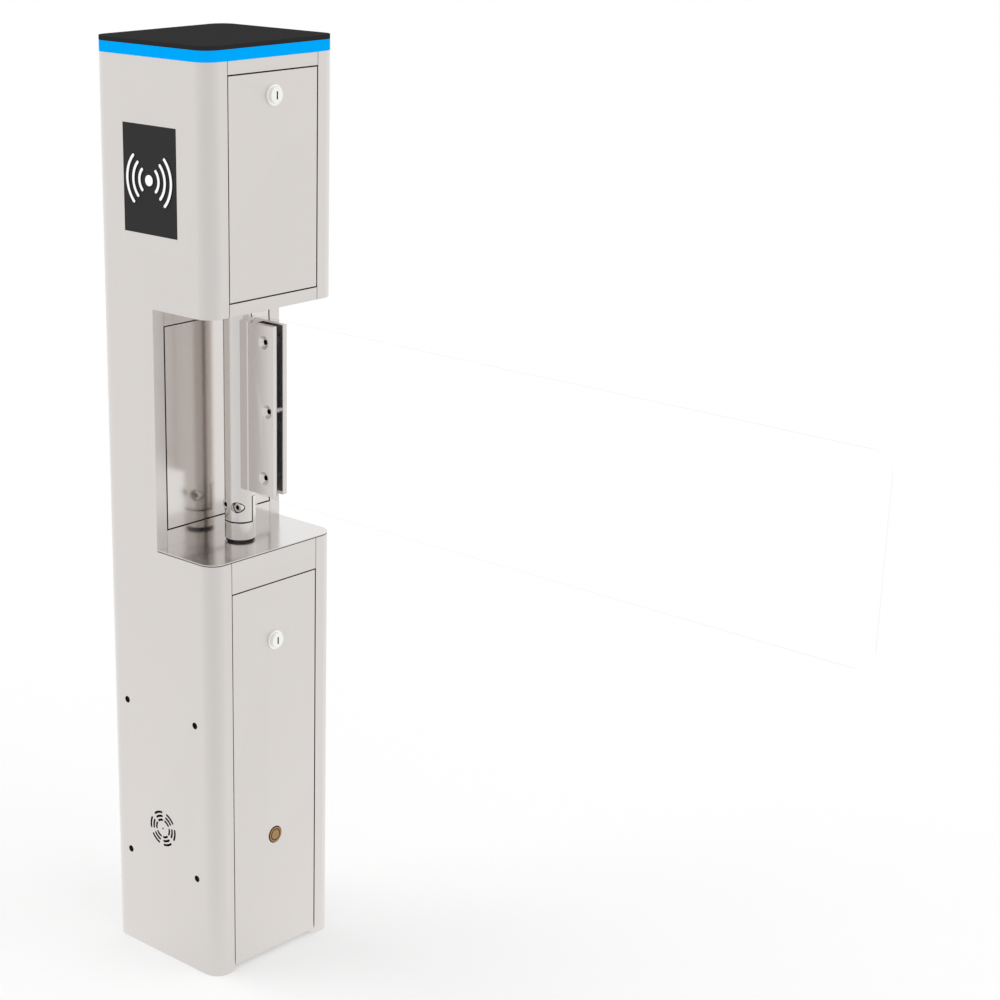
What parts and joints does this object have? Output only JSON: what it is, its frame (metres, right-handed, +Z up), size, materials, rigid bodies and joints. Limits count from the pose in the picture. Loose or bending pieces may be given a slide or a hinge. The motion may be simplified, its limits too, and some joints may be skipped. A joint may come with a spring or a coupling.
{
  "type": "swing turnstile",
  "caption": "Slim free-standing swing turnstile post with a lit top, card reader face, service doors and a motor-driven clear wing that turns in a side recess.",
  "frame": {"origin": "middle of the post's footprint, on the floor", "axes": "+Z up, -Y out of the card reader face, +X out of the door face towards the lane; the wing is stored closed, reaching along +X"},
  "size_m": [0.882, 0.1824, 1],
  "materials": {
    "satin_steel": "satin, fine upright grain",
    "polished_steel": "mirror polished sheet",
    "zinc_steel": "zinc plated",
    "aluminium": "machined",
    "gear_steel": "machined, oiled",
    "bearing_steel": "ground",
    "lock_metal": "polished nickel",
    "brass": "nickel-free turned brass",
    "blue_lens": "lit diffuser",
    "led_board": "white circuit board",
    "black_gloss": "gloss black",
    "black_matte": "moulded black",
    "white_print": "white",
    "motor_grey": "dark grey paint",
    "rubber": "black rubber",
    "board_green": "green circuit board",
    "psu_metal": "folded sheet",
    "clear_acrylic": "clear, polished edges"
  },
  "bodies": {
    "post": {"base_plate": "zinc_steel", "casing": "satin_steel", "recess_floor": "polished_steel", "recess_ceiling": "polished_steel", "recess_rails": "polished_steel", "recess_cover": "polished_steel", "cover_nuts": "zinc_steel", "light_ring": "blue_lens", "led_ring": "led_board", "top_plate": "zinc_steel", "top_cap": "black_gloss", "header_rail": "satin_steel", "sill_rail": "satin_steel", "lower_rail": "satin_steel", "lock_keeper": "zinc_steel", "hinge_pins": "zinc_steel", "reader_window": "black_gloss", "reader_symbol": "white_print", "reader_module": "black_matte", "ir_sensors": "black_matte", "speaker": "black_matte", "lane_sensor": "brass", "lane_sensor_nuts": "brass", "sensor_strap": "zinc_steel", "bearing_plate": "aluminium", "motor_plate": "aluminium", "plate_spacers": "zinc_steel", "bearing_housings": "aluminium", "bearing_outer_rings": "bearing_steel", "bearing_balls": "bearing_steel", "shaft_bush": "brass", "gearmotor": "motor_grey", "stop_posts": "zinc_steel", "stop_buffers": "rubber", "disc_sensors": "black_matte", "control_board": "board_green", "power_supply": "psu_metal"},
    "wing": {"pivot_post": "satin_steel", "clamp_bracket": "satin_steel", "front_jaw": "satin_steel", "clamp_pads": "rubber", "wing_panel": "clear_acrylic", "wing_screws": "lock_metal", "drive_shaft": "satin_steel", "upper_shaft": "satin_steel", "bearing_inner_rings": "bearing_steel", "drive_gear": "gear_steel", "stop_arm": "zinc_steel", "position_disc": "black_matte"},
    "pinion": {"motor_pinion": "gear_steel"},
    "upper_door": {"upper_door": "satin_steel", "upper_lock_shell": "lock_metal", "upper_lock_nut": "zinc_steel"},
    "upper_lock": {"upper_lock_plug": "lock_metal", "upper_lock_cam": "zinc_steel"},
    "lower_door": {"lower_door": "satin_steel", "lower_lock_shell": "lock_metal", "lower_lock_nut": "zinc_steel"},
    "lower_lock": {"lower_lock_plug": "lock_metal", "lower_lock_cam": "zinc_steel"}
  },
  "joints": [
    {"name": "wing_swing", "type": "hinge", "parent": "post", "child": "wing", "pos_m": [0.032, 0, 0.6278], "axis": [0, 0, 1], "range_deg": [-90, 90]},
    {"name": "pinion_spin", "type": "hinge", "parent": "post", "child": "pinion", "pos_m": [-0.026, 0, 0.332], "axis": [0, 0, 1], "range_deg": [-201, 201]},
    {"name": "upper_door_tilt", "type": "hinge", "parent": "post", "child": "upper_door", "pos_m": [0.08, 0, 0.7524], "axis": [0, 1, 0], "range_deg": [0, 90]},
    {"name": "lower_door_tilt", "type": "hinge", "parent": "post", "child": "lower_door", "pos_m": [0.08, 0, 0.0109], "axis": [0, 1, 0], "range_deg": [0, 90]},
    {"name": "upper_lock_turn", "type": "hinge", "parent": "upper_door", "child": "upper_lock", "pos_m": [0.084, 0, 0.9475], "axis": [1, 0, 0], "range_deg": [0, 90]},
    {"name": "lower_lock_turn", "type": "hinge", "parent": "lower_door", "child": "lower_lock", "pos_m": [0.084, 0, 0.3755], "axis": [1, 0, 0], "range_deg": [0, 90]}
  ],
  "couplings": [
    {"joint": "pinion_spin", "follows": "wing_swing", "ratio": -2.2222}
  ]
}
